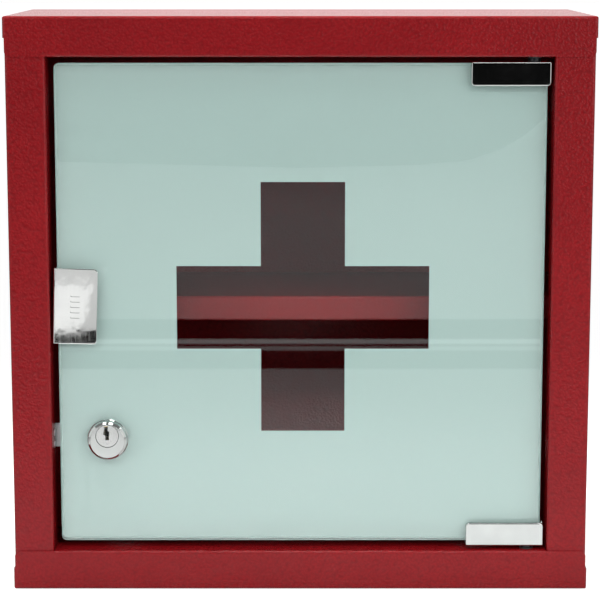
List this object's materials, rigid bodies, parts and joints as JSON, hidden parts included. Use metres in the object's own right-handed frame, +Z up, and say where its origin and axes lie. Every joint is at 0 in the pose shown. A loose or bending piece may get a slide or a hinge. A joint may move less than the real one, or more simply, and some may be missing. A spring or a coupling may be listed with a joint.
{
  "type": "lockable medicine cabinet",
  "caption": "Wall-hung red steel medicine cabinet with one shelf and a lockable frosted glass door with a clear cross, on pivot hinges.",
  "frame": {"origin": "centre of the base", "axes": "+X to the right seen from the front, +Y from the door towards the wall, +Z up"},
  "size_m": [0.3, 0.12, 0.298],
  "materials": {
    "red_paint": "red powder coat with a fine wrinkle texture",
    "glass": "clear toughened float glass",
    "frosted_film": "pale green-grey frosted backing",
    "chrome": "bright chrome plate",
    "satin_nickel": "satin nickel plate",
    "zinc_steel": "zinc-plated steel",
    "black_steel": "blackened steel",
    "spring_steel": "drawn spring wire",
    "brass": "stamped brass",
    "magnet": "nickel-plated magnet",
    "grey_plastic": "moulded grey plastic",
    "black_nylon": "moulded black nylon",
    "rubber": "black rubber"
  },
  "bodies": {
    "cabinet": {"top_pan": "red_paint", "bottom_pan": "red_paint", "left_side_panel": "red_paint", "right_side_panel": "red_paint", "back_panel": "red_paint", "shelf": "red_paint", "left_shelf_rail": "red_paint", "right_shelf_rail": "red_paint", "shelf_screws": "zinc_steel", "shelf_nuts": "zinc_steel", "top_pivot_bush": "black_nylon", "bottom_pivot_bush": "black_nylon", "lock_keeper": "zinc_steel", "keeper_rivets": "zinc_steel", "latch_housing": "grey_plastic", "latch_end_cap": "black_nylon", "latch_screws": "zinc_steel", "latch_spring": "spring_steel"},
    "plunger": {"latch_plunger": "grey_plastic", "latch_magnet": "magnet"},
    "door": {"door_glass": "glass", "frosted_film": "frosted_film", "top_hinge_clamp": "chrome", "bottom_hinge_clamp": "chrome", "hinge_pads": "rubber", "hinge_set_screws": "zinc_steel", "top_pivot_pin": "black_steel", "bottom_pivot_pin": "black_steel", "push_plate": "chrome", "push_plate_pad": "rubber", "push_plate_screws": "zinc_steel", "lock_housing": "chrome", "lock_gasket": "rubber", "lock_nut": "zinc_steel"},
    "plug": {"lock_plug": "satin_nickel", "lock_wafers": "brass", "lock_cam": "zinc_steel", "cam_washer": "zinc_steel", "cam_screw": "zinc_steel"}
  },
  "joints": [
    {"name": "door_hinge", "type": "hinge", "parent": "cabinet", "child": "door", "pos_m": [0.1187, -0.053, 0], "axis": [0, 0, 1], "range_deg": [0, 110]},
    {"name": "lock_turn", "type": "hinge", "parent": "door", "child": "plug", "pos_m": [-0.1001, -0.05, 0.0819], "axis": [0, 1, 0], "range_deg": [0, 90]},
    {"name": "latch_push", "type": "slide", "parent": "cabinet", "child": "plunger", "axis": [0, 1, 0], "range_m": [0, 0.004], "stiffness_N_per_m": 300, "springref_m": -0.01, "deforming": ["latch_spring"]}
  ]
}
